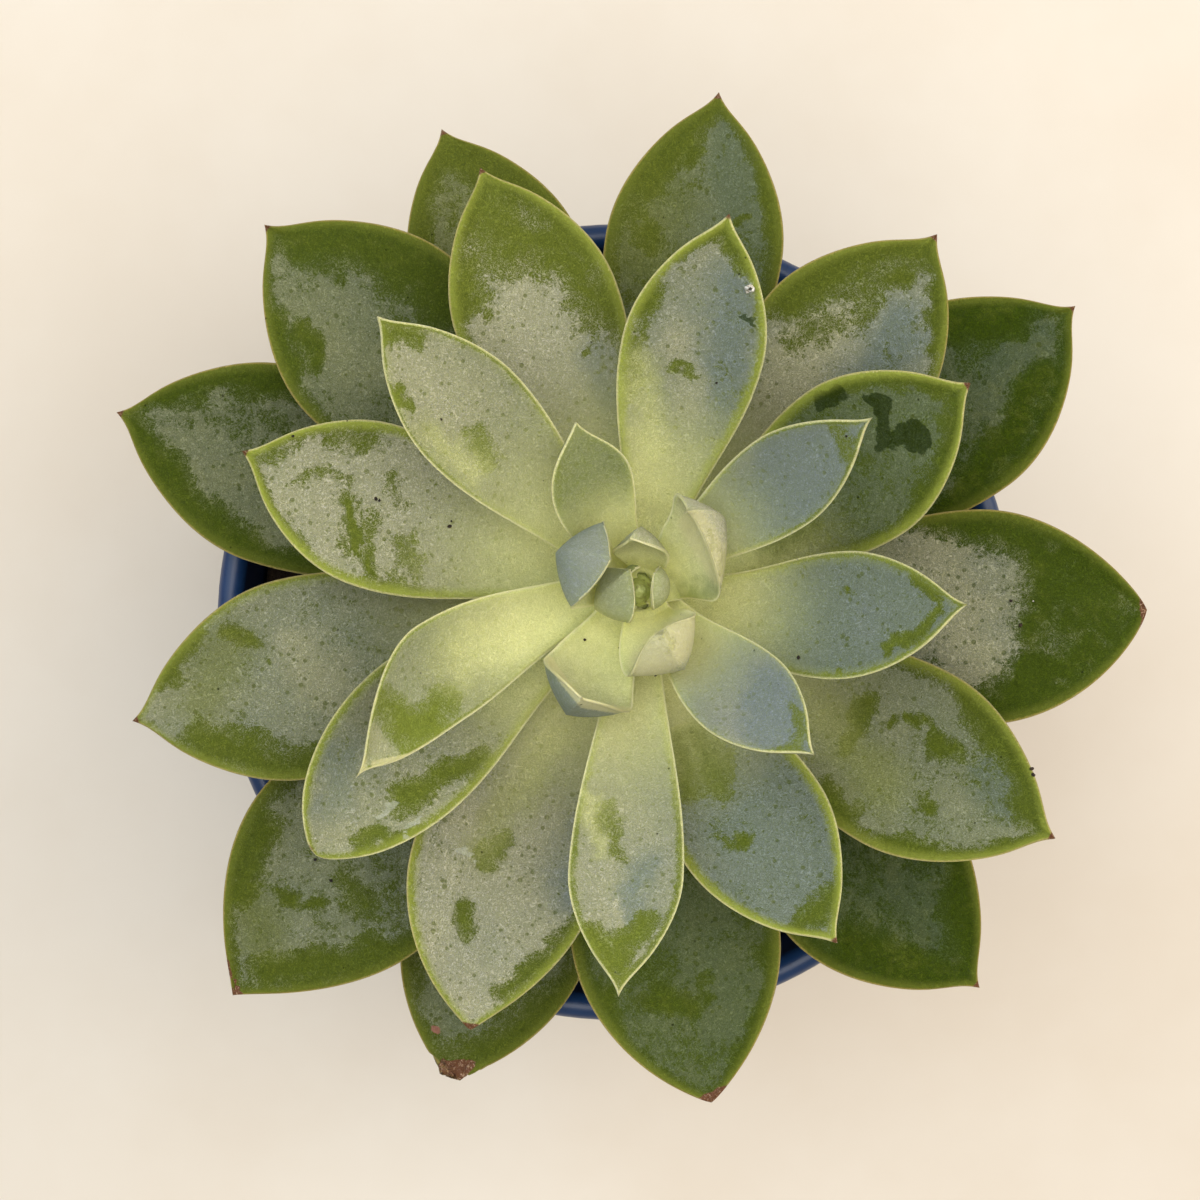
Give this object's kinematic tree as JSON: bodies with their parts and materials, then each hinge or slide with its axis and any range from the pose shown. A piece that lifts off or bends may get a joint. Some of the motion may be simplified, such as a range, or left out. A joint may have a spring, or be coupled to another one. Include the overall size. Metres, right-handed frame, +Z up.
{
  "type": "potted succulent",
  "caption": "Potted rosette succulent: thick pointed leaves spiral out from a short stem over soil in a round glazed pot with a rounded lip.",
  "frame": {"origin": "middle of the pot's flat underside", "axes": "+Z up through the pot, +X to the right and +Y to the top of the picture, which looks straight down"},
  "size_m": [0.1497, 0.1458, 0.1557],
  "materials": {
    "glazed_pot": "glossy dark blue glaze",
    "soil": "dark dull potting soil",
    "stem": "dull green-brown, ringed with leaf scars",
    "old_leaf": "waxy deep green under a patchy grey-blue bloom, with olive margins",
    "middle_leaf": "waxy blue-green bloom with yellow-green bases and cream margins",
    "young_leaf": "frosted yellow-green to blue-grey with bright cream margins"
  },
  "bodies": {
    "root": {"pot": "glazed_pot", "soil": "soil", "stem": "stem", "leaf_01": "old_leaf", "leaf_02": "old_leaf", "leaf_03": "old_leaf", "leaf_04": "old_leaf", "leaf_05": "old_leaf", "leaf_06": "old_leaf", "leaf_07": "old_leaf", "leaf_08": "old_leaf", "leaf_09": "old_leaf", "leaf_10": "old_leaf", "leaf_11": "old_leaf", "leaf_12": "old_leaf", "leaf_13": "old_leaf", "leaf_14": "middle_leaf", "leaf_15": "middle_leaf", "leaf_16": "middle_leaf", "leaf_17": "middle_leaf", "leaf_18": "middle_leaf", "leaf_19": "middle_leaf", "leaf_20": "middle_leaf", "leaf_21": "middle_leaf", "leaf_22": "middle_leaf", "leaf_23": "middle_leaf", "leaf_24": "middle_leaf", "leaf_25": "young_leaf", "leaf_26": "young_leaf", "leaf_27": "young_leaf", "leaf_28": "young_leaf", "leaf_29": "young_leaf", "leaf_30": "young_leaf", "leaf_31": "young_leaf", "leaf_32": "young_leaf", "leaf_33": "young_leaf", "leaf_34": "young_leaf", "leaf_35": "young_leaf"}
  },
  "joints": []
}
